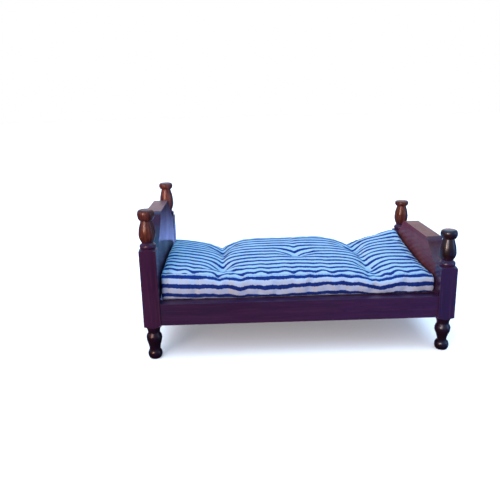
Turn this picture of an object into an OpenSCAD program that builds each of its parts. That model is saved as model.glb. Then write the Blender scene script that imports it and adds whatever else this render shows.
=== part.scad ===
// Miniature four poster bed for a dolls' house: four turned posts, a headboard and a
// footboard with scooped shoulders, two side rails, a slatted base and a loose tufted mattress.
// Millimetres. The origin is on the floor under the middle of the bed, +X runs from the head to
// the foot, -Y is the front and +Z is up.

/* [Frame] */
// Distance along the bed between the post centres
post_spacing_x = 168.5; // [150:0.5:190]
// Distance across the bed between the post centres
post_spacing_y = 93; // [80:0.5:110]
// Side of the square post stock
post_size = 9.5; // [8.5:0.1:10.5]
// Height of the lower end of the square part of a post
block_bottom = 20.6; // [18:0.1:24]
// Height of the upper end of the square part of a head post
head_block_top = 65.1; // [60:0.1:70]
// Height of the upper end of the square part of a foot post
foot_block_top = 50.2; // [46:0.1:55]

/* [Turnings] */
// Front head finial: heights of its belly, cap underside and top above the square
head_front_finial = [8.7, 16.6, 23.1]; // [7:0.1:26]
// Back head finial, turned with a taller vase and a thinner cap
head_back_finial = [9.8, 19.4, 24]; // [7:0.1:26]
// Front foot finial
foot_front_finial = [8.4, 16.6, 22.1]; // [7:0.1:26]
// Back foot finial, turned with a taller vase and a thinner cap
foot_back_finial = [10, 17.8, 21.9]; // [7:0.1:26]
// Radius of a head post's ankle, just above the ball foot
head_ankle_r = 3.2; // [2.2:0.1:3.8]
// Radius of a foot post's ankle
foot_ankle_r = 2.6; // [2.2:0.1:3.8]

/* [Boards] */
// Thickness of the headboard and the footboard
board_t = 9.2; // [7:0.1:9.4]
// Height of the boards' lower edge
board_bottom = 21.1; // [19:0.1:26]
// Height of the headboard's flat top
headboard_top = 81.4; // [76:0.1:86]
// Half the width of the headboard's flat top
headboard_flat = 17; // [12:0.5:20]
// Height of the headboard where it meets a post
headboard_end = 65.2; // [60:0.1:70]
// Height of the footboard's flat top
footboard_top = 62.3; // [58:0.1:66]
// Half the width of the footboard's flat top
footboard_flat = 21; // [16:0.5:24]
// Height of the footboard where it meets a post
footboard_end = 50; // [46:0.1:54]

/* [Side rails and base] */
// Height of a side rail's lower edge
rail_bottom = 21.1; // [19:0.1:26]
// Depth of a side rail, from edge to edge
rail_h = 12.7; // [12:0.1:18]
// Thickness of a side rail
rail_t = 8; // [5:0.1:8.5]
// How far a rail's outer face lies behind the posts' faces
rail_setback = 0.94; // [0.5:0.02:1.5]
// Side of the square strip that carries the slats
ledger_size = 4; // [3:0.1:5]
// Thickness of a slat
slat_t = 2.4; // [2:0.1:3]
// How far the slats' tops lie below the rails' tops
slat_drop = 0.8; // [0:0.1:2]
// Width of a slat
slat_w = 11; // [8:0.5:13]

/* [Dowels] */
// Diameter of the dowels
dowel_d = 2; // [1.5:0.1:2.4]
// Length of a dowel
dowel_l = 8.6; // [7:0.1:9]
// Width of the glue line round and behind a dowel
glue_gap = 0.05; // [0.02:0.01:0.1]

/* [Mattress] */
// Thickness of the mattress at its crown
mattress_t = 19; // [14:0.5:22]
// Gap between the mattress and each board
mattress_end_gap = 0.6; // [0.4:0.05:4]
// Gap between the mattress and each side rail
mattress_side_gap = 0.3; // [0.3:0.05:2]
// Thickness of the ticking that covers the mattress
ticking_t = 0.5; // [0.3:0.1:0.8]
// Depth of a tuft's dimple below the crown
tuft_depth = 6; // [3:0.5:8]
// Diameter of the thread that ties a tuft
tie_d = 0.8; // [0.6:0.1:1]

/* [Hidden] */
ROUND = 64;
ARC_STEPS = 14;
STEEP_HEAD = 54;  // steepest slope of the headboard's scooped shoulder, in degrees
STEEP_FOOT = 50;  // the same for the footboard
SHALLOW_END = 15; // slope of either shoulder where it runs into a post
SLATS = 9;

post_x = post_spacing_x / 2;
post_y = post_spacing_y / 2;
inner_x = post_x - post_size / 2;
inner_y = post_y - post_size / 2;
board_face_x = post_x - board_t / 2;
rail_top = rail_bottom + rail_h;
rail_y = post_y + post_size / 2 - rail_setback - rail_t / 2;
rail_inner_y = rail_y - rail_t / 2;
bed_floor = rail_top - slat_drop;
slat_bottom = bed_floor - slat_t;

mattress_x = board_face_x - mattress_end_gap;
mattress_y = rail_inner_y - mattress_side_gap;
mattress_top = bed_floor + mattress_t;
TUFTS = [[-44, -21], [-44, 21], [2.5, 0], [43, -21], [43, 21]];
TUFT_NAMES = ["head_front", "head_back", "middle", "foot_front", "foot_back"];

mahogany = [0.27, 0.10, 0.12];
pine = [0.80, 0.64, 0.42];
beech = [0.84, 0.70, 0.50];
ticking_blue = [0.55, 0.66, 0.85];
wadding_white = [0.93, 0.92, 0.88];
thread_white = [0.90, 0.89, 0.84];

// ---- turned profiles: lists of [radius, height], from the bottom up ----

// A bead: half an ellipse that swells from r_in to r_out between two heights
function bead(r_in, r_out, z0, z1) = [
    for (i = [0:ARC_STEPS]) let (a = -90 + 180 * i / ARC_STEPS)
        [r_in + (r_out - r_in) * cos(a), (z0 + z1) / 2 + (z1 - z0) / 2 * sin(a)]
];

// A wave from one radius to the next, upright at both ends
function wave(r0, z0, r1, z1) = [
    for (i = [1:ARC_STEPS - 1]) let (t = i / ARC_STEPS)
        [r0 + (r1 - r0) * (1 - cos(180 * t)) / 2, z0 + (z1 - z0) * t]
];

// The round upper or lower part of a vase: upright at its belly, meeting its neck at a crease
function vase_side(r_belly, z_belly, r_neck, z_neck) = [
    for (i = [0:ARC_STEPS]) let (t = i / ARC_STEPS)
        [r_neck + (r_belly - r_neck) * cos(90 * t), z_belly + (z_neck - z_belly) * t]
];

// A cove: upright at the small radius, flat at the large one
function cove(r0, z0, r1, z1) = [
    for (i = [0:ARC_STEPS]) let (a = 90 * i / ARC_STEPS)
        [r0 + (r1 - r0) * (1 - cos(a)), z0 + (z1 - z0) * sin(a)]
];

function reversed(points) = [for (i = [len(points) - 1:-1:0]) points[i]];

// The foot below the square: ball, taper, bulb, groove and the cove under the block
function foot_profile(ankle) = concat(
    [[0, 0]],
    bead(2.5, 4.1, 0, 5.5),
    [[ankle, 5.6]],
    wave(ankle, 5.8, 4.5, 13.1),
    vase_side(4.5, 13.1, 3.45, 15.9),
    cove(3.45, 16.2, post_size * 0.73, block_bottom)
);

// The finial above the square: shoulder, ring, vase and cap. f holds the heights above base of
// the vase's belly, the underside of the cap and the top
function finial_profile(base, f) =
    let (low = base + f[1] + 0.1, rim = low + 0.55 * (f[2] - f[1]), crown = base + f[2] - 0.2)
    concat(
        [[post_size * 0.73, base - 0.1], [4.1, base + 1.1]],
        bead(4.0, 4.65, base + 1.1, base + 3.4),
        reversed(vase_side(4.7, base + f[0] - 0.1, 3.2, base + 4.3)),
        vase_side(4.7, base + f[0], 3.1, base + f[1]),
        [for (i = [1:ARC_STEPS]) let (a = -90 + 90 * i / ARC_STEPS)
            [3.1 + 1.6 * cos(a), rim + (rim - low) * sin(a)]],
        [for (i = [1:ARC_STEPS]) let (a = 90 * i / ARC_STEPS)
            [3.0 + 1.7 * cos(a), rim + (crown - rim) * sin(a)]],
        [[0, base + f[2]]]
    );

// ---- frame ----

// One post, turned in one piece: the turning meets the square stock where it is left full size
module post(block_top, finial, ankle) {
    color(mahogany)
    intersection() {
        translate([-post_size / 2, -post_size / 2, -1])
            cube([post_size, post_size, block_top + finial[2] + 2]);
        rotate_extrude($fn = ROUND)
            polygon(concat(foot_profile(ankle), finial_profile(block_top, finial)));
    }
}

function rail_dowel_heights() = [rail_bottom + rail_h * 0.27, rail_bottom + rail_h * 0.73];
function headboard_dowel_heights() = [38, 58];
function footboard_dowel_heights() = [36, 46];

// Pegs along X for one end of one rail, centred on the joint
module rail_pegs(diameter, length) {
    for (z = rail_dowel_heights())
        translate([0, 0, z]) rotate([0, 90, 0])
            cylinder(d = diameter, h = length, center = true, $fn = 32);
}

// Pegs along Y for one end of one board, centred on the joint
module board_pegs(heights, diameter, length) {
    for (z = heights)
        translate([0, 0, z]) rotate([90, 0, 0])
            cylinder(d = diameter, h = length, center = true, $fn = 32);
}

module all_rail_pegs(diameter, length) {
    for (x = [-inner_x, inner_x], y = [-rail_y, rail_y])
        translate([x, y, 0]) rail_pegs(diameter, length);
}

module all_board_pegs(x, heights, diameter, length) {
    for (y = [-inner_y, inner_y])
        translate([x, y, 0]) board_pegs(heights, diameter, length);
}

hole_d = dowel_d + 2 * glue_gap;
hole_l = dowel_l + 2 * glue_gap;

module head_post(side) {
    difference() {
        translate([-post_x, side * post_y, 0])
            post(head_block_top, side < 0 ? head_front_finial : head_back_finial, head_ankle_r);
        color(mahogany) all_rail_pegs(hole_d, hole_l);
        color(mahogany) all_board_pegs(-post_x, headboard_dowel_heights(), hole_d, hole_l);
    }
}

module foot_post(side) {
    difference() {
        translate([post_x, side * post_y, 0])
            post(foot_block_top, side < 0 ? foot_front_finial : foot_back_finial, foot_ankle_r);
        color(mahogany) all_rail_pegs(hole_d, hole_l);
        color(mahogany) all_board_pegs(post_x, footboard_dowel_heights(), hole_d, hole_l);
    }
}

// ---- headboard and footboard ----

// Radii of the two arcs of a shoulder that falls dz over dy, from level through the steepest
// slope to the shallow end slope
function crest_radius(dy, dz, steep) =
    let (s = sin(steep), d = sin(steep) - sin(SHALLOW_END))
    let (c = 1 - cos(steep), e = cos(SHALLOW_END) - cos(steep))
    (dy * e - dz * d) / (s * e - c * d);
function scoop_radius(dy, steep, crest) =
    (dy - crest * sin(steep)) / (sin(steep) - sin(SHALLOW_END));

// One shoulder's outline from the flat top down to the post
function shoulder(flat, top, end, steep) =
    let (dy = inner_y - flat, dz = top - end)
    let (r1 = crest_radius(dy, dz, steep))
    let (r2 = scoop_radius(dy, steep, r1))
    let (y1 = flat + r1 * sin(steep), z1 = top - r1 * (1 - cos(steep)))
    concat(
        [for (i = [0:ARC_STEPS]) let (a = steep * i / ARC_STEPS)
            [flat + r1 * sin(a), top - r1 * (1 - cos(a))]],
        [for (i = [1:ARC_STEPS]) let (a = steep + (SHALLOW_END - steep) * i / ARC_STEPS)
            [y1 + r2 * (sin(steep) - sin(a)), z1 - r2 * (cos(a) - cos(steep))]]
    );

function mirrored(points) = [for (p = reversed(points)) [-p[0], p[1]]];

// A board across the bed, centred on the posts
module board(x, flat, top, end, steep, heights) {
    side = shoulder(flat, top, end, steep);
    outline = concat(
        [[-inner_y, board_bottom], [inner_y, board_bottom]],
        reversed(side),
        reversed(mirrored(side))
    );
    color(mahogany)
    difference() {
        translate([x - board_t / 2, 0, 0])
            rotate([90, 0, 90]) linear_extrude(board_t) polygon(outline);
        all_board_pegs(x, heights, hole_d, hole_l);
    }
}

module headboard() {
    board(-post_x, headboard_flat, headboard_top, headboard_end, STEEP_HEAD, headboard_dowel_heights());
}

module footboard() {
    board(post_x, footboard_flat, footboard_top, footboard_end, STEEP_FOOT, footboard_dowel_heights());
}

// ---- side rails and slatted base ----

module side_rail(side) {
    color(mahogany)
    difference() {
        translate([-inner_x, side * rail_y - rail_t / 2, rail_bottom])
            cube([2 * inner_x, rail_t, rail_h]);
        all_rail_pegs(hole_d, hole_l);
    }
}

module slat_ledger(side) {
    ledger_y = rail_inner_y - ledger_size / 2;
    color(pine)
    translate([-inner_x + 0.5, side * ledger_y - ledger_size / 2, slat_bottom - ledger_size])
        cube([2 * inner_x - 1, ledger_size, ledger_size]);
}

module slat(number) {
    pitch = (2 * board_face_x - slat_w - 6) / (SLATS - 1);
    x = (number - (SLATS + 1) / 2) * pitch;
    slat_l = 2 * rail_inner_y - 0.6;
    color(pine)
    translate([x - slat_w / 2, -slat_l / 2, slat_bottom])
        cube([slat_w, slat_l, slat_t]);
}

// ---- dowels ----

module rail_dowels() {
    color(beech) all_rail_pegs(dowel_d, dowel_l);
}

module headboard_dowels() {
    color(beech) all_board_pegs(-post_x, headboard_dowel_heights(), dowel_d, dowel_l);
}

module footboard_dowels() {
    color(beech) all_board_pegs(post_x, footboard_dowel_heights(), dowel_d, dowel_l);
}

// ---- mattress ----

// Outline of the mattress seen from above, with round corners, drawn inset by a margin
module plan(inset, corner_r) {
    x1 = mattress_x - inset - corner_r;
    y1 = mattress_y - inset - corner_r;
    corners = [[x1, y1, 0], [-x1, y1, 90], [-x1, -y1, 180], [x1, -y1, 270]];
    polygon([
        for (c = corners, i = [0:6]) let (a = c[2] + 15 * i)
            [c[0] + corner_r * cos(a), c[1] + corner_r * sin(a)]
    ]);
}

// The whole mattress as a pad with eased edges and a round dimple at each tuft, smaller by inset
module pad(inset) {
    edge = 3.5;
    bottom = bed_floor + inset;
    top = mattress_top - inset;
    dimple_r = 14;
    difference() {
        hull() {
            translate([0, 0, bottom]) linear_extrude(0.1) plan(inset + edge * 0.6, 4);
            translate([0, 0, bottom + edge]) linear_extrude(top - bottom - 2 * edge) plan(inset, 5);
            translate([0, 0, top - 0.1]) linear_extrude(0.1) plan(inset + edge, 4);
        }
        for (t = TUFTS)
            translate([t[0], t[1], mattress_top - tuft_depth + dimple_r])
                sphere(r = dimple_r + inset, $fn = ROUND);
    }
}

module tie_holes() {
    for (t = TUFTS)
        translate([t[0], t[1], bed_floor - 1])
            cylinder(d = tie_d + 2 * glue_gap, h = mattress_t + 2, $fn = 24);
}

module mattress_cover() {
    color(ticking_blue)
    difference() {
        pad(0);
        pad(ticking_t);
        tie_holes();
    }
}

module mattress_filling() {
    color(wadding_white)
    difference() {
        pad(ticking_t);
        tie_holes();
    }
}

// The thread of one tuft: it runs down through the mattress from a knot in the dimple
module tuft_tie(number) {
    tie_bottom = bed_floor + glue_gap;
    tie_top = mattress_top - tuft_depth + 1;
    color(thread_white)
    translate([TUFTS[number][0], TUFTS[number][1], 0]) {
        translate([0, 0, tie_bottom])
            cylinder(d = tie_d, h = tie_top - tie_bottom, $fn = 24);
        translate([0, 0, tie_top]) sphere(d = tie_d * 2, $fn = 24);
    }
}

head_post(-1);  // head_post_front
head_post(1);  // head_post_back
foot_post(-1);  // foot_post_front
foot_post(1);  // foot_post_back
headboard();
footboard();
side_rail(-1);  // side_rail_front
side_rail(1);  // side_rail_back
slat_ledger(-1);  // slat_ledger_front
slat_ledger(1);  // slat_ledger_back
for (i = [1:SLATS])
    slat(i);
rail_dowels();
headboard_dowels();
footboard_dowels();
mattress_cover();
mattress_filling();
for (i = [0:len(TUFTS) - 1])
    tuft_tie(i);
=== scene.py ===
"""A miniature wooden bed with four turned posts and a tufted mattress in striped ticking.

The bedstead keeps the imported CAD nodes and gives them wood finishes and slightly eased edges.
The mattress cover, its wadding and its tuft ties are soft pieces made here in place of theirs.
Lengths in the mattress section are in millimetres; everything in the scene is in metres.
"""

import math
from collections import namedtuple

import bpy
import numpy as np
from mathutils import Matrix, Vector


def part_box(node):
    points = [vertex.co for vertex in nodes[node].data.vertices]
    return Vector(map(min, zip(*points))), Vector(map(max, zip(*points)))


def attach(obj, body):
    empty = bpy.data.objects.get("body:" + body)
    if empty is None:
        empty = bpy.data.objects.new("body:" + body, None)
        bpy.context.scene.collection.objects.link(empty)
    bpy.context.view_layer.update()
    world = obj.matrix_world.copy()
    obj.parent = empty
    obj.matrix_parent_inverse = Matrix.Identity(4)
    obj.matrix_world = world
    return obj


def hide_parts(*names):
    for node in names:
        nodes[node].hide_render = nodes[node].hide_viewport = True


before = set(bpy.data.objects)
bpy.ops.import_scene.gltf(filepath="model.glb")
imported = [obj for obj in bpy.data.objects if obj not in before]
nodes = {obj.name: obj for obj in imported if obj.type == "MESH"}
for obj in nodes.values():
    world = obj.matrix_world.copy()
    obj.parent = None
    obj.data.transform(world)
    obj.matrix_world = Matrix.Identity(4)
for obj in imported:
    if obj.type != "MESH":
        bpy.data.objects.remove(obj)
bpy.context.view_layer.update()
scene = bpy.context.scene

MM = 0.001


# ---------------------------------------------------------------- small helpers


def spline(x, stations, values):
    """A smooth curve through the values at the stations, flat past both ends."""
    xs, ys = np.array(stations, float), np.array(values, float)
    slope = np.gradient(ys, xs)
    x = np.clip(x, xs[0], xs[-1])
    i = np.clip(np.searchsorted(xs, x) - 1, 0, len(xs) - 2)
    gap = xs[i + 1] - xs[i]
    t = (x - xs[i]) / gap
    return (
        (1 + 2 * t) * (1 - t) ** 2 * ys[i]
        + t * (1 - t) ** 2 * gap * slope[i]
        + t * t * (3 - 2 * t) * ys[i + 1]
        + t * t * (t - 1) * gap * slope[i + 1]
    )


def wave(x, length, phase=0.0):
    """A sine of this wavelength."""
    return np.sin(x * 2 * np.pi / length + phase)


def add_object(name, data):
    """A new object with this data, in the scene."""
    made = bpy.data.objects.new(name, data)
    scene.collection.objects.link(made)
    return made


def add_mesh(name, points, faces, smooth=True):
    """A new mesh object from points in metres."""
    mesh = bpy.data.meshes.new(name)
    mesh.from_pydata([tuple(p) for p in points], [], faces)
    mesh.validate()
    mesh.polygons.foreach_set("use_smooth", [smooth] * len(mesh.polygons))
    return add_object(name, mesh)


def subdivide(piece):
    """One level of subdivision surface."""
    rounding = piece.modifiers.new("rounding", "SUBSURF")
    rounding.levels = rounding.render_levels = 1


class NodeTree:
    """A shader node tree, with short ways to add and join its nodes."""

    def __init__(self, tree):
        self.tree = tree
        tree.nodes.clear()

    def node(self, kind, inputs=None, **settings):
        """A new node. Each input is a value, or the output of another node."""
        made = self.tree.nodes.new("ShaderNode" + kind)
        for key, value in settings.items():
            setattr(made, key, value)
        for key, value in (inputs or {}).items():
            if isinstance(value, bpy.types.NodeSocket):
                self.tree.links.new(value, made.inputs[key])
            else:
                made.inputs[key].default_value = value
        return made

    def stretch(self, vector, by):
        return self.node("VectorMath", {0: vector, 1: by}, operation="MULTIPLY").outputs[0]

    def dot(self, a, b):
        return self.node("VectorMath", {0: a, 1: b}, operation="DOT_PRODUCT").outputs["Value"]

    def split(self, vector):
        """The X, Y and Z of a vector."""
        return self.node("SeparateXYZ", {0: vector}).outputs[:]

    def maths(self, operation, a, b=0.0, c=0.0):
        return self.node("Math", {0: a, 1: b, 2: c}, operation=operation).outputs[0]

    def span(self, value, low, high, to_low=0.0, to_high=1.0):
        """Value from low..high to to_low..to_high, eased and clamped."""
        ends = {"From Min": low, "From Max": high, "To Min": to_low, "To Max": to_high}
        inputs = {"Value": value, **ends}
        eased = self.node("MapRange", inputs, interpolation_type="SMOOTHSTEP")
        return eased.outputs["Result"]

    def blend(self, share, a, b):
        return self.node("Mix", {0: share, 6: a, 7: b}, data_type="RGBA").outputs[2]


class Shader(NodeTree):
    """The node tree of a new material."""

    def __init__(self, name):
        self.material = bpy.data.materials.new(name)
        self.material.use_nodes = True
        super().__init__(self.material.node_tree)
        self.output = self.node("OutputMaterial")

    def place(self):
        """Object coordinates: metres in the frame that all pieces share."""
        return self.node("TexCoord").outputs["Object"]

    def noise(self, vector, scale=1.0, detail=3.0, roughness=0.5, distortion=0.0):
        inputs = {
            "Vector": vector,
            "Scale": scale,
            "Detail": detail,
            "Roughness": roughness,
            "Distortion": distortion,
        }
        return self.node("TexNoise", inputs).outputs["Fac"]

    def bump(self, height, distance, strength=1.0, under=None):
        inputs = {"Height": height, "Distance": distance, "Strength": strength}
        if under is not None:
            inputs["Normal"] = under
        return self.node("Bump", inputs).outputs["Normal"]

    def finish(self, **inputs):
        """Ends with one Principled shader; underscores in the names stand for spaces."""
        named = {key.replace("_", " "): value for key, value in inputs.items()}
        shader = self.node("BsdfPrincipled", named)
        self.tree.links.new(shader.outputs[0], self.output.inputs["Surface"])
        return self.material


# ---------------------------------------------------------------- wood materials

# Two ends of a stain's range of colour: light and dark figure.
PURPLE_STAIN = ((0.036, 0.010, 0.038, 1), (0.056, 0.014, 0.052, 1))
RAIL_STAIN = ((0.052, 0.014, 0.046, 1), (0.078, 0.020, 0.062, 1))
# The footboard's redder stain below is partly painted warm light on its inner face.
RED_STAIN_AND_WARM_LIGHT = ((0.085, 0.020, 0.016, 1), (0.150, 0.040, 0.022, 1))
BROWN_STAIN = ((0.060, 0.018, 0.032, 1), (0.088, 0.026, 0.044, 1))
STREAK_STAIN = (0.135, 0.038, 0.070, 1)
PORE_STAIN = (0.016, 0.004, 0.014, 1)
BLOTCH_STAIN = (0.036, 0.011, 0.044, 1)
WORN_STAIN = (0.17, 0.060, 0.062, 1)
# Near black for the turned feet: painted shade under the bed.
FOOT_PAINTED_SHADE = (0.008, 0.003, 0.007, 1)

PINE = ((0.62, 0.43, 0.24, 1), (0.46, 0.27, 0.12, 1))
BEECH = ((0.60, 0.42, 0.27, 1), (0.48, 0.31, 0.18, 1))
HANDLED_WOOD = (0.30, 0.20, 0.14, 1)
RUBBED_WOOD = (0.42, 0.30, 0.20, 1)

# How thick the varnish is and how rough, what colour it reflects, and how much the wood under
# it reflects.
Varnish = namedtuple("Varnish", "coat roughness tint sheen")

# A turned post: the heights in metres below and above which it is turned, and the darkest and
# lightest colour on its finial, partly stain and partly painted warm reflection and light.
Turning = namedtuple("Turning", "foot shoulder deep bright")


def grain_scale(axis, along, across):
    """Features per metre along the grain axis and across it."""
    return tuple(along if a == axis else across for a in "XYZ")


def worn_edges(shader, reach):
    """1 where the surface turns an outer or inner edge within reach, 0 on the flats."""
    soft = shader.node("Bevel", {"Radius": reach}, samples=6).outputs["Normal"]
    true = shader.node("NewGeometry").outputs["Normal"]
    return shader.span(shader.dot(soft, true), 0.99, 0.82)


def turned_ends_with_painted_light(shader, colour, place, streaks, turning):
    """Warmer, streaked finial above the shoulder, partly painted reflection; near black foot as
    shade.
    """
    height = shader.split(place)[2]
    # Above the shoulder the finial takes its own colours: partly a warmer stain, partly painted
    # warm reflection and light.
    high = shader.span(height, turning.shoulder + 3.0 * MM, turning.shoulder + 8.0 * MM)
    warm = shader.blend(shader.span(streaks, 0.35, 0.75), turning.deep, turning.bright)
    colour = shader.blend(shader.maths("MULTIPLY", high, 0.95), colour, warm)
    # Below the block the turned foot is painted near black: painted shade under the bed.
    low = shader.span(height, turning.foot + 1.0 * MM, turning.foot - 4.0 * MM)
    return shader.blend(shader.maths("MULTIPLY", low, 0.90), colour, FOOT_PAINTED_SHADE)


def mahogany(name, axis, stain, varnish, turning=None):
    """Dark stained hardwood under brushed varnish, with its grain along one axis."""
    shader = Shader(name)
    place = shader.place()
    figure = shader.noise(shader.stretch(place, grain_scale(axis, 14, 190)), 1, 3, 0.55, 0.6)
    streaks = shader.noise(shader.stretch(place, grain_scale(axis, 45, 1100)), 1, 3, 0.6, 0.2)
    pores = shader.noise(shader.stretch(place, grain_scale(axis, 220, 4200)), 1, 2, 0.5)
    blotch = shader.noise(place, 55, 2, 0.5)

    colour = shader.blend(shader.span(figure, 0.30, 0.70), *stain)
    colour = shader.blend(shader.span(streaks, 0.48, 0.80, 0, 0.6), colour, STREAK_STAIN)
    if turning is not None:
        colour = turned_ends_with_painted_light(shader, colour, place, streaks, turning)
    colour = shader.blend(shader.span(pores, 0.58, 0.74, 0, 0.65), colour, PORE_STAIN)
    colour = shader.blend(shader.span(blotch, 0.45, 0.75, 0, 0.35), colour, BLOTCH_STAIN)
    rubbed = shader.span(blotch, 0.35, 0.6, 0.2, 0.7)
    edge = shader.maths("MULTIPLY", worn_edges(shader, 0.6 * MM), rubbed)
    colour = shader.blend(edge, colour, WORN_STAIN)

    patchy = shader.span(blotch, 0.3, 0.7, 0.28, 0.40)
    rough = shader.maths("ADD", patchy, shader.span(pores, 0.5, 0.8, 0, 0.12))
    pits = shader.span(pores, 0.56, 0.72, 0, -1)
    relief = shader.maths("ADD", pits, shader.maths("MULTIPLY", streaks, 0.6))
    return shader.finish(
        Base_Color=colour,
        Roughness=rough,
        Normal=shader.bump(relief, 0.03 * MM, 0.6),
        Specular_IOR_Level=varnish.sheen,
        Specular_Tint=varnish.tint,
        Coat_Weight=varnish.coat,
        Coat_Roughness=varnish.roughness,
        Coat_IOR=1.5,
    )


def pale_wood(name, axis, wood, rings_per_metre):
    """Bare softwood or beech: sawn, matt, with growth lines along the grain."""
    shader = Shader(name)
    place = shader.place()
    ring_scale = grain_scale(axis, 16, rings_per_metre)
    rings = shader.noise(shader.stretch(place, ring_scale), 1, 2, 0.5, 0.8)
    fibre = shader.noise(shader.stretch(place, grain_scale(axis, 160, 3200)), 1, 3, 0.6)
    patch = shader.noise(place, 70, 2)

    light, dark = wood
    colour = shader.blend(shader.span(rings, 0.42, 0.66), light, dark)
    colour = shader.blend(shader.span(fibre, 0.4, 0.8, 0, 0.4), colour, dark)
    colour = shader.blend(shader.span(patch, 0.5, 0.8, 0, 0.3), colour, HANDLED_WOOD)
    edge = shader.maths("MULTIPLY", worn_edges(shader, 0.3 * MM), 0.35)
    colour = shader.blend(edge, colour, RUBBED_WOOD)
    return shader.finish(
        Base_Color=colour,
        Roughness=shader.span(fibre, 0.3, 0.8, 0.6, 0.8),
        Normal=shader.bump(fibre, 0.06 * MM, 0.7),
    )


# ---------------------------------------------------------------- cotton and paper materials

# The ticking's stripes and weave, in millimetres.
STRIPE_PITCH = 6.3
STRIPE_WIDTH = 2.75
STRIPE_BLUR = 0.16
THREAD = 0.42
STITCH = 2.1
SEAM_HALF_WIDTH = 0.45
GATHER_REACH = 2.2

COOL_CREAM, WARM_CREAM = (0.75, 0.78, 0.84, 1), (0.81, 0.73, 0.62, 1)
SOILED_CREAM = (0.62, 0.60, 0.62, 1)
DEEP_BLUE, BRIGHT_BLUE = (0.005, 0.024, 0.175, 1), (0.012, 0.046, 0.250, 1)
BETWEEN_THREADS = (0.20, 0.24, 0.36, 1)
SEAM_SHADE = (0.16, 0.19, 0.30, 1)


def stripes(shader, cloth, across):
    """1 on the woven stripes and 0 between them, with slightly uneven edges."""
    fray = shader.noise(shader.stretch(cloth, (1100, 700, 0)), 1, 3, 0.6)
    drift = shader.noise(shader.stretch(cloth, (90, 30, 0)), 1, 2)
    fray = shader.span(fray, 0.2, 0.8, -0.30, 0.30)
    drift = shader.span(drift, 0.2, 0.8, -0.26, 0.26)
    shift = shader.maths("ADD", fray, drift)
    turns = shader.maths("ADD", shader.maths("DIVIDE", across, STRIPE_PITCH * MM), 0.5)
    middle = shader.maths("SUBTRACT", shader.maths("FRACT", turns), 0.5)
    offset = shader.maths("MULTIPLY", shader.maths("ABSOLUTE", middle), STRIPE_PITCH)
    offset = shader.maths("ADD", offset, shift)
    edge = STRIPE_WIDTH / 2
    return shader.span(offset, edge + STRIPE_BLUR, edge - STRIPE_BLUR)


def weave_of(shader, along, across):
    """The plain weave: a bump for each thread that crosses over, from -1 to 1."""
    turn = 2 * math.pi / (THREAD * MM)
    warp = shader.maths("SINE", shader.maths("MULTIPLY", along, turn))
    weft = shader.maths("SINE", shader.maths("MULTIPLY", across, turn))
    return shader.maths("MULTIPLY", warp, weft)


def ticking(name):
    """Cream cotton ticking with woven blue stripes, from the cover's own cloth coordinates.

    UV map cloth: u along the stripes and v across them. UV map seam: u along the top seam and
    v away from it.
    """
    shader = Shader(name)
    cloth = shader.node("UVMap", uv_map="cloth").outputs["UV"]
    seam = shader.node("UVMap", uv_map="seam").outputs["UV"]
    along, across, _ = shader.split(cloth)
    run, away, _ = shader.split(seam)
    away = shader.maths("ABSOLUTE", away)
    stripe = stripes(shader, cloth, across)
    weave = weave_of(shader, along, across)
    slub = shader.noise(shader.stretch(cloth, (900, 130, 0)), 1, 3)
    cream = shader.noise(shader.stretch(cloth, (300, 60, 0)), 1, 3, 0.6)
    soil = shader.noise(shader.place(), 38, 3)

    plain = shader.blend(shader.span(cream, 0.46, 0.68, 0, 0.75), COOL_CREAM, WARM_CREAM)
    plain = shader.blend(shader.span(soil, 0.5, 0.8, 0, 0.25), plain, SOILED_CREAM)
    blue = shader.blend(shader.span(slub, 0.35, 0.7), DEEP_BLUE, BRIGHT_BLUE)
    colour = shader.blend(stripe, plain, blue)
    colour = shader.blend(shader.span(weave, 0.2, 1.0, 0, 0.10), colour, BETWEEN_THREADS)
    # Beside the seam the colour darkens towards SEAM_SHADE: painted shade in the seam's crease.
    seam_fold_and_shade = shader.span(away, SEAM_HALF_WIDTH * MM, 0.0)
    colour = shader.blend(shader.maths("MULTIPLY", seam_fold_and_shade, 0.45), colour, SEAM_SHADE)

    stitch = shader.maths("SINE", shader.maths("MULTIPLY", run, 2 * math.pi / (STITCH * MM)))
    gather = shader.span(away, GATHER_REACH * MM, 0.0)
    gather = shader.maths("MULTIPLY", gather, stitch)
    yarn = shader.maths("MULTIPLY", slub, 0.8)
    relief = shader.maths("ADD", shader.maths("MULTIPLY", weave, 0.30), yarn)
    normal = shader.bump(relief, 0.05 * MM, 0.8)
    groove = shader.maths("SUBTRACT", shader.maths("MULTIPLY", gather, 0.25), seam_fold_and_shade)
    normal = shader.bump(groove, 0.30 * MM, 0.9, under=normal)
    return shader.finish(
        Base_Color=colour,
        Roughness=shader.span(slub, 0.3, 0.8, 0.78, 0.95),
        Normal=normal,
        Specular_IOR_Level=0.2,
        Sheen_Weight=0.05,
        Sheen_Roughness=0.5,
        Sheen_Tint=(0.80, 0.88, 1.0, 1),
    )


def wadding(name):
    """White cotton wadding: matted, fluffy fibres."""
    shader = Shader(name)
    place = shader.place()
    fluff = shader.noise(place, 900, 5, 0.65, 1.2)
    clump = shader.noise(place, 160, 3)
    white, grey, hollow = (0.84, 0.82, 0.76, 1), (0.72, 0.68, 0.60, 1), (0.60, 0.56, 0.50, 1)
    colour = shader.blend(shader.span(clump, 0.35, 0.7), white, grey)
    colour = shader.blend(shader.span(fluff, 0.5, 0.8, 0, 0.3), colour, hollow)
    return shader.finish(
        Base_Color=colour,
        Roughness=shader.span(fluff, 0.3, 0.7, 0.9, 1.0),
        Normal=shader.bump(shader.maths("ADD", fluff, clump), 0.6 * MM, 0.9),
        Sheen_Weight=0.4,
    )


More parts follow.
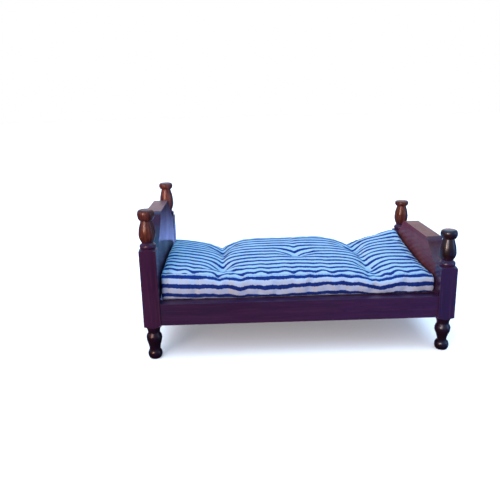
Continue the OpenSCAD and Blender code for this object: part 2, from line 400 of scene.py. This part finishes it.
def thread(name):
    """Twisted natural cotton thread, with painted shade in the grooves of its twist."""
    shader = Shader(name)
    place = shader.place()
    twist = {"Vector": place, "Scale": 700, "Distortion": 3.0, "Detail": 2.0}
    ply = shader.node("TexWave", twist, bands_direction="DIAGONAL").outputs["Fac"]
    fuzz = shader.noise(place, 5200, 3)
    # The grooves of the ply take the darker colour and its crests the lighter: painted shade and
    # painted light on the twist.
    groove, crest, shade = (0.44, 0.46, 0.56, 1), (0.78, 0.78, 0.80, 1), (0.36, 0.38, 0.50, 1)
    colour = shader.blend(ply, groove, crest)
    colour = shader.blend(shader.span(fuzz, 0.5, 0.8, 0, 0.35), colour, shade)
    return shader.finish(
        Base_Color=colour,
        Roughness=shader.span(fuzz, 0.3, 0.7, 0.75, 0.92),
        Normal=shader.bump(shader.maths("ADD", ply, fuzz), 0.12 * MM, 0.8),
        Sheen_Weight=0.3,
    )


def paper_floor(name):
    """Plain pale studio paper."""
    shader = Shader(name)
    place = shader.place()
    tooth = shader.noise(place, 1400, 3)
    cloud = shader.noise(place, 6, 2)
    grey, white = (0.90, 0.90, 0.90, 1), (0.93, 0.93, 0.93, 1)
    return shader.finish(
        Base_Color=shader.blend(shader.span(cloud, 0.3, 0.7), grey, white),
        Roughness=shader.span(tooth, 0.3, 0.7, 0.7, 0.8),
        Normal=shader.bump(tooth, 0.04 * MM, 0.4),
        Specular_IOR_Level=0.2,
    )


# ---------------------------------------------------------------- bedstead


def dress(names, material, ease):
    """Gives CAD nodes their finish and eases their edges.

    ease: how far an edge is rounded at most, in metres. Bevel keeps to much less on a node
    with fine turnings or dowel holes, so that its faces don't overlap.
    """
    for name in names:
        node = nodes[name]
        for slot in node.material_slots:
            slot.link = "OBJECT"
            slot.material = material
        stored = node.data.attributes.get("custom_normal")
        if stored is not None:
            node.data.attributes.remove(stored)
        node.data.polygons.foreach_set("use_smooth", [True] * len(node.data.polygons))
        weld = node.modifiers.new("weld", "WELD")
        weld.merge_threshold = 0.002 * MM
        bevel = node.modifiers.new("eased_edges", "BEVEL")
        bevel.limit_method = "ANGLE"
        bevel.angle_limit = math.radians(32)
        bevel.width = ease
        bevel.segments = 3
        bevel.harden_normals = True
        bevel.miter_outer = "MITER_ARC"


AMBER, CLEAR = (1.0, 0.55, 0.36, 1), (1, 1, 1, 1)
VIOLET, PLUM = (0.65, 0.62, 1.0, 1), (0.9, 0.5, 0.8, 1)
POST_SHEEN = 0.4
BLOCK_BOTTOM, HEAD_SHOULDER, FOOT_SHOULDER = 20.6 * MM, 65.1 * MM, 50.2 * MM

# The finial colours differ from post to post to paint how light falls on each; the front foot
# finial is darkest.
POSTS = {
    "head_post_front": (
        Turning(BLOCK_BOTTOM, HEAD_SHOULDER, (0.060, 0.012, 0.008, 1), (0.200, 0.055, 0.020, 1)),
        Varnish(0.28, 0.10, AMBER, POST_SHEEN),
    ),
    "head_post_back": (
        Turning(BLOCK_BOTTOM, HEAD_SHOULDER, (0.110, 0.020, 0.018, 1), (0.280, 0.080, 0.046, 1)),
        Varnish(0.20, 0.14, AMBER, POST_SHEEN),
    ),
    "foot_post_front": (
        Turning(BLOCK_BOTTOM, FOOT_SHOULDER, (0.010, 0.004, 0.004, 1), (0.034, 0.011, 0.008, 1)),
        Varnish(0.50, 0.07, CLEAR, POST_SHEEN),
    ),
    "foot_post_back": (
        Turning(BLOCK_BOTTOM, FOOT_SHOULDER, (0.070, 0.014, 0.008, 1), (0.260, 0.070, 0.026, 1)),
        Varnish(0.35, 0.09, AMBER, POST_SHEEN),
    ),
}


def dress_bedstead():
    """Dark varnished posts, boards and rails over a base of bare pine and beech dowels."""
    for name, (turning, varnish) in POSTS.items():
        wood = mahogany("mahogany_" + name, "Z", PURPLE_STAIN, varnish, turning)
        dress([name], wood, 0.35 * MM)
    rails = [name for name in nodes if name.startswith("side_rail")]
    varnish = Varnish(0.12, 0.20, CLEAR, 0.4)
    dress(rails, mahogany("mahogany_rails", "X", RAIL_STAIN, varnish), 0.6 * MM)
    varnish = Varnish(0.40, 0.19, VIOLET, 0.15)
    wood = mahogany("mahogany_headboard", "Y", BROWN_STAIN, varnish)
    dress(["headboard"], wood, 0.4 * MM)
    # The footboard's redder stain is partly painted warm light on its inner face.
    varnish = Varnish(0.20, 0.16, PLUM, 0.2)
    wood = mahogany("mahogany_footboard", "Y", RED_STAIN_AND_WARM_LIGHT, varnish)
    dress(["footboard"], wood, 0.4 * MM)

    ledgers = [name for name in nodes if name.startswith("slat_ledger")]
    slats = [name for name in nodes if name.startswith("slat_") and name not in ledgers]
    dress(ledgers, pale_wood("pine_ledgers", "X", PINE, 700), 0.2 * MM)
    dress(slats, pale_wood("pine_slats", "Y", PINE, 700), 0.25 * MM)
    dress(["rail_dowels"], pale_wood("beech_rail_dowels", "X", BEECH, 1600), 0.1 * MM)
    wood = pale_wood("beech_board_dowels", "Y", BEECH, 1600)
    dress(["headboard_dowels", "footboard_dowels"], wood, 0.1 * MM)


dress_bedstead()


# ---------------------------------------------------------------- mattress shape, in millimetres

cover_low, cover_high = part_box("mattress_cover")
HALF_X = cover_high.x / MM
HALF_Y = cover_high.y / MM
BOTTOM = cover_low.z / MM
LOFT = (cover_high.z - cover_low.z) / MM
RAIL_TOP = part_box("side_rail_front")[1].z / MM
POST_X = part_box("foot_post_front")[0].x / MM

# Height of the top along the bed from head to foot, before the tufts pull it down: three rows,
# near the front edge, along the middle and towards the back edge.
STATIONS = (-79, -62, -44, -26, 0, 20, 44, 60, 79)
FRONT_TOP = (50.4, 48.9, 47.8, 46.9, 46.8, 46.3, 46.0, 45.3, 45.2)
MIDDLE_TOP = (52.2, 50.6, 49.6, 49.0, 49.0, 48.2, 47.5, 47.7, 47.2)
BACK_TOP = (50.4, 48.8, 48.0, 48.8, 48.7, 48.9, 46.3, 48.0, 52.8)
FRONT_Y, MIDDLE_Y, BACK_Y = -38.0, 0.0, 34.0

# The two tufted creases that cross the mattress: where, how deep from front to back, and how
# far each fades out towards the head and the foot. Both run a little askew.
Crease = namedtuple("Crease", "at depth head_reach foot_reach")
CREASE_ROWS = (-42, -34, -18, 0, 21, 34, 42)
HEAD_CREASE = Crease(-44.5, (0.5, 1.8, 4.6, 4.4, 5.2, 5.4, 4.8), 11.0, 6.5)
FOOT_CREASE = Crease(45.4, (2.6, 4.0, 4.6, 4.0, 4.6, 4.0, 3.4), 6.5, 5.5)
CREASES = (HEAD_CREASE, FOOT_CREASE)
SLANT = -0.026

# The tufts: two in each crease and one in the middle, with the depth of each one's pit.
Tuft = namedtuple("Tuft", "name x y depth")
FRONT_ROW, BACK_ROW = -18, 21
TUFTS = (
    Tuft("head_front", HEAD_CREASE.at + SLANT * FRONT_ROW, FRONT_ROW, 3.4),
    Tuft("head_back", HEAD_CREASE.at + SLANT * BACK_ROW, BACK_ROW, 2.6),
    Tuft("middle", 2.5, 0, 4.9),
    Tuft("foot_front", FOOT_CREASE.at + SLANT * FRONT_ROW, FRONT_ROW, 3.0),
    Tuft("foot_back", FOOT_CREASE.at + SLANT * BACK_ROW, BACK_ROW, 2.4),
)
PIT_REACH = 3.6

RIPPLE_HEIGHT = 0.24  # of the gathered top edges
RIPPLE_REACH = 6.5
BULGE = 3.2  # of the sides over the rails

# Where the first stripe lies over the top and down the border, and how much more cloth than
# its height the border holds.
FIRST_STRIPE = 4.2
FIRST_BORDER_STRIPE = -1.2
BORDER_GATHER = 1.14
# How far the border's stripes ride up or down the front as it was gathered in.
WAVE_AT = (-79, -62, -50, -40, -33, -27, -18, -8, 0, 12, 25, 37, 48, 58, 70, 79)
WAVE_UP = (-0.2, 0.0, 0.7, 0.8, -0.5, 0.4, -0.3, -0.2, 0.6, 1.4, 2.0, 1.5, 0.6, 1.2, 0.5, 1.0)
FAR_FROM_SEAM = 20.0

COVER_CELL = 1.25
FILLING_CELL = 2.6
FILLING_SCALE = (0.965, 0.94, 0.78)
FILLING_LIFT = 0.7


def crown(x, y):
    """Height of the untufted top: a parabola across the bed through its three rows."""
    front = spline(x, STATIONS, FRONT_TOP)
    middle = spline(x, STATIONS, MIDDLE_TOP)
    back = spline(x, STATIONS, BACK_TOP)
    a, b, c = FRONT_Y, MIDDLE_Y, BACK_Y
    return (
        front * (y - b) * (y - c) / ((a - b) * (a - c))
        + middle * (y - a) * (y - c) / ((b - a) * (b - c))
        + back * (y - a) * (y - b) / ((c - a) * (c - b))
    )


def crease_dip(x, y, crease):
    """How far a crease pulls the top down, rounded at its bottom."""
    away = x - crease.at - SLANT * y
    reach = np.where(away > 0, crease.foot_reach, crease.head_reach)
    rounded_away = np.maximum(np.sqrt(away * away + 0.35) - 0.6, 0)
    return spline(y, CREASE_ROWS, crease.depth) * np.exp(-rounded_away / reach)


def tuft_dip(x, y, tuft):
    """How far a tuft pulls the top down, a little further across the bed than along it."""
    away = np.hypot(x - tuft.x, (y - tuft.y) * 0.75)
    rounded_away = np.maximum(np.sqrt(away * away + 0.3) - 0.5, 0)
    return tuft.depth * np.exp(-rounded_away / PIT_REACH)


def edge_ripple(x, y, side):
    """The gathers along one top edge, calmer near the head."""
    near = np.exp(-np.maximum(HALF_Y - side * y, 0) / RIPPLE_REACH)
    ripple = wave(x, 11, 1.4 * np.sin(x / 15 + side) + side)
    ripple = ripple + 0.5 * wave(x, 6.1, 2 * np.sin(x / 9))
    busy = 0.25 + 0.75 * np.clip((x + 62) / 12, 0, 1)
    return RIPPLE_HEIGHT * busy * near * ripple


def top_height(x, y):
    """Height of the cover's top above the floor."""
    z = crown(x, y)
    for crease in CREASES:
        z = z - crease_dip(x, y, crease)
    for tuft in TUFTS:
        z = z - tuft_dip(x, y, tuft)
    for side in (-1, 1):
        z = z + edge_ripple(x, y, side)
    return z


def rounded(points):
    """Moves points of the plain box onto its rounded form.

    The top edges are soft and the lower ones tight. The foot end is rounder than the head end.
    """
    x, y, z = points.T
    upper = z > BOTTOM + LOFT / 2
    foot_end = np.clip((x - HALF_X + 9) / 9, 0, 1)
    end_radius = np.where(upper, 1.6 + 2.4 * foot_end, 1.2 + 4.8 * foot_end)
    side_radius = np.where(upper, np.where(y < 0, 4.6, 7.0), 1.0)
    edge_radius = np.where(upper, 4.6, 1.0 + 5.0 * foot_end)
    radii = np.stack([end_radius, side_radius, edge_radius], 1)

    low = np.array([-HALF_X, -HALF_Y, BOTTOM])
    high = np.array([HALF_X, HALF_Y, BOTTOM + LOFT])
    inner = np.clip(points, low + radii, high - radii)
    out = (points - inner) / radii
    square = (out[:, 0] ** 4 + out[:, 1] ** 4) ** 0.25
    size = np.hypot(square, out[:, 2])[:, None]
    most = np.abs(out).max(axis=1, keepdims=True)
    out = np.where(size > 1e-9, out * most / np.maximum(size, 1e-9), out)
    return inner + out * radii


def shaped(points):
    """Box points to the lying mattress: flat underneath, crowned and tufted on top.

    Above the rails its sides bulge out over them, but not into the posts.
    """
    x, y, z = rounded(points).T
    share = (z - BOTTOM) / LOFT
    z = BOTTOM + share * (top_height(x, y) - BOTTOM)
    above_rail = np.clip((z - RAIL_TOP - 0.15) / 0.5, 0, 1)
    eased = above_rail * above_rail * (3 - 2 * above_rail)
    swell = np.sin(np.pi * np.clip(share, 0, 1)) ** 0.5 * eased
    near_side = np.clip((np.abs(y) - HALF_Y + 5) / 5, 0, 1)
    lumps = 1.0 + 0.12 * wave(x, 17, 1.0) + 0.08 * wave(x, 9.3)
    clear_of_posts = np.clip((POST_X - 0.2 - np.abs(x)) / 0.8, 0, 1)
    y = y + np.sign(y) * BULGE * swell * near_side * lumps * clear_of_posts
    return np.stack([x, y, z], 1)


# The cells along each axis, the number of each surface point by its steps along the axes, the
# points themselves, the quads between them, and for each quad its panel and its corners' steps.
Lattice = namedtuple("Lattice", "cells index points quads panels")

# The panels of the box: name, the axis each faces, and whether it is at the far end of it.
PANELS = (
    ("head", 0, 0),
    ("foot", 0, 1),
    ("front", 1, 0),
    ("back", 1, 1),
    ("under", 2, 0),
    ("top", 2, 1),
)


def lattice(cell):
    """The mattress's plain box as a grid of about this cell size, finer towards the bottom."""
    cells = [max(2, round(length / cell)) for length in (2 * HALF_X, 2 * HALF_Y, LOFT)]
    steps = [np.linspace(-half, half, n + 1) for half, n in zip((HALF_X, HALF_Y), cells)]
    steps.append(BOTTOM + LOFT * np.linspace(0, 1, cells[2] + 1) ** 1.35)
    index, points, quads, panels = {}, [], [], []

    def corner(key):
        if key not in index:
            index[key] = len(points)
            points.append([steps[axis][key[axis]] for axis in range(3)])
        return index[key]

    for panel, axis, far in PANELS:
        a, b = [other for other in range(3) if other != axis]
        for i in range(cells[a]):
            for j in range(cells[b]):
                keys = []
                for di, dj in ((0, 0), (1, 0), (1, 1), (0, 1)):
                    key = [0, 0, 0]
                    key[axis], key[a], key[b] = far * cells[axis], i + di, j + dj
                    keys.append(tuple(key))
                if (far == 1) == (axis == 1):
                    keys.reverse()
                quads.append([corner(key) for key in keys])
                panels.append((panel, keys))
    return Lattice(cells, index, np.array(points), quads, panels)


def girth(grid, points, keys):
    """The length round the cross section from the first of these corners to each of them."""
    path = np.array([points[grid.index[key]] for key in keys])
    steps = np.linalg.norm(np.diff(path[:, 1:], axis=0), axis=1)
    return dict(zip(keys, [0.0, *np.cumsum(steps)]))


def border_cloth(x, edge, down):
    """Cloth v on the border, from the length down from its top edge, which is negative."""
    lift = spline(x if edge == 0 else -x, WAVE_AT, WAVE_UP)
    share = 0.2 + 0.8 * min(max(-down / 5.0, 0), 1)
    return down * BORDER_GATHER - FIRST_BORDER_STRIPE - lift * share


def top_cloth(x, over):
    """Cloth v on the top, from the length over it; the front stripes wander and gather."""
    taken_in = 2.3 * np.clip((-60 - x) / 9, 0, 1)
    ripple = 1.3 * wave(x, 13.5, 1.2 * np.sin(x / 11))
    ripple += 0.8 * wave(x, 7.3, 1)
    return over - FIRST_STRIPE - (taken_in + ripple) * np.exp(-over / 13)


def cloth_maps(grid, points):
    """Cloth and seam coordinates of every quad corner, in millimetres.

    The seam is one cell in from each long top edge.
    """
    nx, ny, nz = grid.cells
    over, from_edge = {}, {0: {}, ny: {}}
    for i in range(nx + 1):
        over.update(girth(grid, points, [(i, j, nz) for j in range(ny + 1)]))
        for edge, inward in ((0, 1), (ny, -1)):
            side = girth(grid, points, [(i, edge, k) for k in range(nz, -1, -1)])
            from_edge[edge].update({key: -length for key, length in side.items()})
            half = [(i, edge + inward * j, nz) for j in range(ny // 2 + 1)]
            from_edge[edge].update(girth(grid, points, half))
    cloth, seam = [], []
    for panel, keys in grid.panels:
        row = min(key[1] for key in keys) if panel == "top" else None
        on_border = panel in ("front", "back") or row in (0, ny - 1)
        border_edge = 0 if (panel == "front" or row == 0) else ny
        for key in keys:
            i, j, _ = key
            x, y, z = points[grid.index[key]]
            if panel == "under":
                u, v, away = x, y, FAR_FROM_SEAM
            elif panel in ("head", "foot"):
                u, v, away = z, over[(i, j, nz)] - FIRST_STRIPE, FAR_FROM_SEAM
            else:
                edge = border_edge if on_border else (0 if j <= ny // 2 else ny)
                length = from_edge[edge][key]
                away = length - from_edge[edge][(i, abs(edge - 1), nz)]
                u, v = x, border_cloth(x, edge, length) if on_border else top_cloth(x, over[key])
            cloth.append((u, v))
            seam.append((x, away))
    return np.array(cloth), np.array(seam)


# ---------------------------------------------------------------- mattress pieces

SIM_SCALE = 10
SIM_FRAMES = 12
SIM_REACH = 0.9 * MM


def held_points(points):
    """How firmly each point of the cover is held while it settles, from 0 to 1.

    It is held where it lies between the rails, at the tufts, along the creases and at the ends.
    """
    x, y, z = points.T
    held = np.clip((36.5 - z) / 3, 0, 1)
    for tuft in TUFTS:
        away = np.hypot(x - tuft.x, y - tuft.y)
        held = np.maximum(held, np.clip(1.6 - away / 2.5, 0, 1))
    for crease in CREASES:
        away = np.abs(x - crease.at - SLANT * y)
        held = np.maximum(held, np.clip(0.9 - away / 2.2, 0, 0.6) * (np.abs(y) < 41))
    at_ends = np.clip(np.abs(x) - HALF_X + 1.0, 0, 0.9)
    return np.maximum(held, at_ends)


def settle(piece, held):
    """Lets the cover swell and crumple as cloth, ten times life size, near its shaped form.

    No point moves further than SIM_REACH, and no Cloth is left on the piece.
    """
    mesh = piece.data.copy()
    mesh.transform(Matrix.Scale(SIM_SCALE, 4))
    sim = add_object("settling", mesh)
    group = sim.vertex_groups.new(name="held")
    for i, weight in enumerate(held):
        if weight > 0:
            group.add([i], float(weight), "REPLACE")
    cloth = sim.modifiers.new("cloth", "CLOTH")
    settings = cloth.settings
    settings.quality = 4
    settings.mass = 0.2
    settings.tension_stiffness = settings.compression_stiffness = 12
    settings.shear_stiffness = 4
    settings.bending_stiffness = 0.08
    settings.air_damping = 4
    settings.use_pressure = True
    settings.uniform_pressure_force = 1.2
    settings.shrink_min = -0.035
    settings.vertex_group_mass = "held"
    settings.effector_weights.gravity = 0
    cloth.point_cache.frame_start = 1
    cloth.point_cache.frame_end = SIM_FRAMES + 1
    for step in range(1, SIM_FRAMES + 1):
        scene.frame_set(step)

    settled = sim.evaluated_get(bpy.context.evaluated_depsgraph_get()).data
    after = np.empty(len(mesh.vertices) * 3)
    settled.vertices.foreach_get("co", after)
    before = np.empty(len(mesh.vertices) * 3)
    piece.data.vertices.foreach_get("co", before)
    before = before.reshape(-1, 3)
    moved = after.reshape(-1, 3) / SIM_SCALE - before
    length = np.linalg.norm(moved, axis=1, keepdims=True)
    moved *= SIM_REACH * np.tanh(length / SIM_REACH) / np.maximum(length, 1e-12)
    piece.data.vertices.foreach_set("co", (before + moved).ravel())
    piece.data.update()
    bpy.data.objects.remove(sim)
    scene.frame_set(1)


def make_cover():
    """The mattress cover: one closed form with its cloth coordinates, swelled as cloth."""
    grid = lattice(COVER_CELL)
    points = shaped(grid.points)
    piece = add_mesh("ticking_mattress_cover", points * MM, grid.quads)
    cloth, seam = cloth_maps(grid, points)
    for name, values in (("cloth", cloth), ("seam", seam)):
        layer = piece.data.uv_layers.new(name=name)
        layer.data.foreach_set("uv", (values * MM).astype(np.float32).ravel())
    settle(piece, held_points(points))
    subdivide(piece)
    piece.data.materials.append(ticking("striped_ticking_cloth"))
    return piece


def make_filling():
    """The wadding inside the cover, a little smaller all round."""
    grid = lattice(FILLING_CELL)
    base = np.array([0, 0, BOTTOM])
    points = base + (shaped(grid.points) - base) * np.array(FILLING_SCALE)
    points[:, 2] += FILLING_LIFT
    piece = add_mesh("wadding_mattress_filling", points * MM, grid.quads)
    subdivide(piece)
    piece.data.materials.append(wadding("cotton_wadding_fibre"))
    return piece


THREAD_RADIUS = 0.16
KNOT_POINTS = 22
KNOT_ROUNDS = 2


def knot_points(x, y, z):
    """A small overhand knot: two rounds that weave in and out, up and down."""
    points = []
    for turn in np.linspace(0, KNOT_ROUNDS * 2 * math.pi, KNOT_POINTS):
        radius = 0.30 + 0.10 * math.cos(1.5 * turn)
        across, along = radius * math.cos(turn), radius * math.sin(turn)
        points.append((x + across, y + along, z + 0.15 + 0.16 * math.sin(1.5 * turn)))
    return points


def make_tie(tuft):
    """A tuft tie: thread down through the mattress, a knot in the pit and two cut tails."""
    x, y = tuft.x, tuft.y
    top = float(top_height(np.array([float(x)]), np.array([float(y)]))[0])
    middle = (BOTTOM + top) / 2
    curve = bpy.data.curves.new("tuft_tie_" + tuft.name, "CURVE")
    curve.dimensions = "3D"
    curve.bevel_depth = THREAD_RADIUS * MM
    curve.bevel_resolution = 3
    curve.use_fill_caps = True
    runs = [
        [(x, y, BOTTOM + 0.4), (x + 0.1, y, middle), (x, y, top + 0.2)],
        knot_points(x, y, top),
        [(x, y, top + 0.2), (x + 0.2, y + 0.6, top + 0.6), (x + 0.3, y + 1.1, top + 0.8)],
        [(x, y, top + 0.2), (x - 0.1, y - 0.6, top + 0.6), (x - 0.3, y - 1.2, top + 0.8)],
    ]
    for run in runs:
        line = curve.splines.new("POLY")
        line.points.add(len(run) - 1)
        for point, place in zip(line.points, run):
            point.co = (*(value * MM for value in place), 1)
        line.use_smooth = True
    return add_object("cotton_tuft_tie_" + tuft.name, curve)


def lay_on_bed(piece, node):
    """The piece moves with the mattress and stands for this CAD node."""
    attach(piece, "mattress")
    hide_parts(node)


cover = make_cover()
lay_on_bed(cover, "mattress_cover")
lay_on_bed(make_filling(), "mattress_filling")
tie_thread = thread("cotton_thread_twist")
for tuft in TUFTS:
    tie = make_tie(tuft)
    tie.data.materials.append(tie_thread)
    lay_on_bed(tie, "tuft_tie_" + tuft.name)


# ---------------------------------------------------------------- floor, light and camera

BED_MIDDLE = (0, 0, 0.04)

# Colours of the dome from straight below, 0, through the horizon, 0.5, to straight above, 1.
DOME = (
    (0.00, (0.020, 0.018, 0.030)),
    (0.49, (0.040, 0.028, 0.040)),
    (0.53, (0.16, 0.12, 0.15)),
    (0.57, (0.38, 0.34, 0.42)),
    (0.62, (0.32, 0.34, 0.46)),
    (0.80, (0.14, 0.37, 0.70)),
    (1.00, (0.10, 0.40, 0.78)),
)
# Soft cards round the bed: direction, half angle and softness in degrees, colour.
CARDS = (
    ((0.14, 1.0, 0.38), 21, 3, (1.18, 0.92, 0.96)),
    ((0.13, 1.0, -0.285), 3.0, 2.5, (0.95, 1.45, 3.60)),
    ((-0.36, 1.0, -0.30), 14, 5, (0.32, 0.20, 0.46)),
    ((0.38, -0.90, -0.26), 13, 8, (0.05, 0.18, 0.90)),
    ((1.00, -0.10, 0.05), 26, 14, (0.14, 0.30, 0.80)),
)

CAMERA_PLACE = (-0.0335, -0.3488, 0.1457)
CAMERA_YAW, CAMERA_PITCH, CAMERA_ROLL = -0.0196, 0.2658, -0.0227
CAMERA_LENS = 40.33


def look_at(light, place):
    """Puts a light at place, facing the bed."""
    light.location = place
    towards = Vector(BED_MIDDLE) - Vector(place)
    light.rotation_euler = towards.to_track_quat("-Z", "Y").to_euler()


def softbox(name, place, size, power, colour):
    """A rectangular soft light."""
    data = bpy.data.lights.new(name, "AREA")
    data.shape = "RECTANGLE"
    data.size, data.size_y = size
    data.energy = power
    data.color = colour
    light = add_object(name, data)
    look_at(light, place)
    return light


def light_only(light, receivers, shadowless=False):
    """Makes a lamp light these objects and nothing else, with or without shadows on them."""
    chosen = bpy.data.collections.new(light.name + "_receivers")
    for receiver in receivers:
        chosen.objects.link(receiver)
    light.light_linking.receiver_collection = chosen
    if shadowless:
        light.light_linking.blocker_collection = chosen


def make_floor():
    """A wide round floor under the bed, which the varnish doesn't reflect."""
    count, radius = 96, 4.0
    angles = np.linspace(0, 2 * math.pi, count, False)
    ring = [(radius * math.cos(a), radius * math.sin(a), 0) for a in angles]
    floor = add_mesh("studio_floor", ring, [list(range(count))], smooth=False)
    floor.data.materials.append(paper_floor("pale_paper"))
    floor.visible_glossy = False
    floor.visible_diffuse = False
    return floor


def make_lamps(floor):
    """Blue light from above and a warmer fill in front, as beside a window.

    The floor has its own lamps, one of them without shadows, and two small warm ones pick out
    the posts and the inside of the footboard.
    """
    softbox("overhead_sky", (0.05, 0.15, 0.80), (1.0, 0.7), 4.8, (0.12, 0.58, 1.0))
    softbox("front_fill", (-0.45, -0.85, 0.42), (0.5, 0.5), 5.3, (1.0, 0.87, 0.91))
    softbox("side_fill", (0.95, -0.35, 0.30), (0.4, 0.6), 1.2, (0.45, 0.62, 1.0))
    for name, energy, shadowless in (("paper_light", 1.2, False), ("paper_fill", 2.4, True)):
        sun = add_object(name, bpy.data.lights.new(name, "SUN"))
        sun.data.energy = energy
        sun.data.angle = math.radians(80)
        look_at(sun, (-0.1, -0.2, 1.0))
        light_only(sun, [floor], shadowless)
    strip = softbox("left_strip", (-0.42, -0.50, 0.20), (0.06, 0.22), 1.2, (1.0, 0.62, 0.42))
    glow = softbox("left_glow", (-0.50, 0.10, 0.30), (0.3, 0.3), 2.4, (1.0, 0.26, 0.14))
    light_only(glow, [nodes["footboard"]])
    light_only(strip, [nodes[name] for name in POSTS])


def make_world():
    """White to the camera; for light a blue-white dome, a dim lower half and soft cards."""
    world = bpy.data.worlds.new("studio")
    scene.world = world
    world.use_nodes = True
    sky = NodeTree(world.node_tree)
    way = sky.node("TexCoord").outputs["Generated"]
    height = sky.maths("MULTIPLY_ADD", sky.split(way)[2], 0.5, 0.5)
    ramp = sky.node("ValToRGB", {"Fac": height})
    bar = ramp.color_ramp
    while len(bar.elements) < len(DOME):
        bar.elements.new(0.5)
    for element, (position, colour) in zip(bar.elements, DOME):
        element.position = position
        element.color = (*colour, 1)
    light = ramp.outputs["Color"]
    for direction, reach, edge, colour in CARDS:
        near = sky.dot(way, Vector(direction).normalized())
        outside = math.cos(math.radians(reach + edge))
        inside = math.cos(math.radians(reach - edge))
        light = sky.blend(sky.span(near, outside, inside), light, (*colour, 1))
    dome = sky.node("Background", {"Color": light})
    white = sky.node("Background", {"Color": (1, 1, 1, 1)})
    seen = sky.node("LightPath").outputs["Is Camera Ray"]
    both = sky.node("MixShader", {"Fac": seen, 1: dome.outputs[0], 2: white.outputs[0]})
    sky.node("OutputWorld", {"Surface": both.outputs[0]})


def make_camera():
    """A view from in front, a little left of the middle, looking 15 degrees down."""
    data = bpy.data.cameras.new("photo_view")
    data.sensor_width = 36
    data.lens = CAMERA_LENS
    data.clip_start = 0.01
    camera = add_object("photo_view", data)
    level = Vector((math.cos(CAMERA_YAW), math.sin(CAMERA_YAW), 0))
    north = Vector((-math.sin(CAMERA_YAW), math.cos(CAMERA_YAW), 0))
    ahead = north * math.cos(CAMERA_PITCH) - Vector((0, 0, math.sin(CAMERA_PITCH)))
    upright = level.cross(ahead)
    right = level * math.cos(CAMERA_ROLL) + upright * math.sin(CAMERA_ROLL)
    up = upright * math.cos(CAMERA_ROLL) - level * math.sin(CAMERA_ROLL)
    turn = Matrix((right, up, -ahead)).transposed().to_4x4()
    camera.matrix_world = Matrix.Translation(CAMERA_PLACE) @ turn
    return camera


floor = make_floor()
make_lamps(floor)
make_world()
scene.camera = make_camera()
scene.view_settings.view_transform = "Standard"
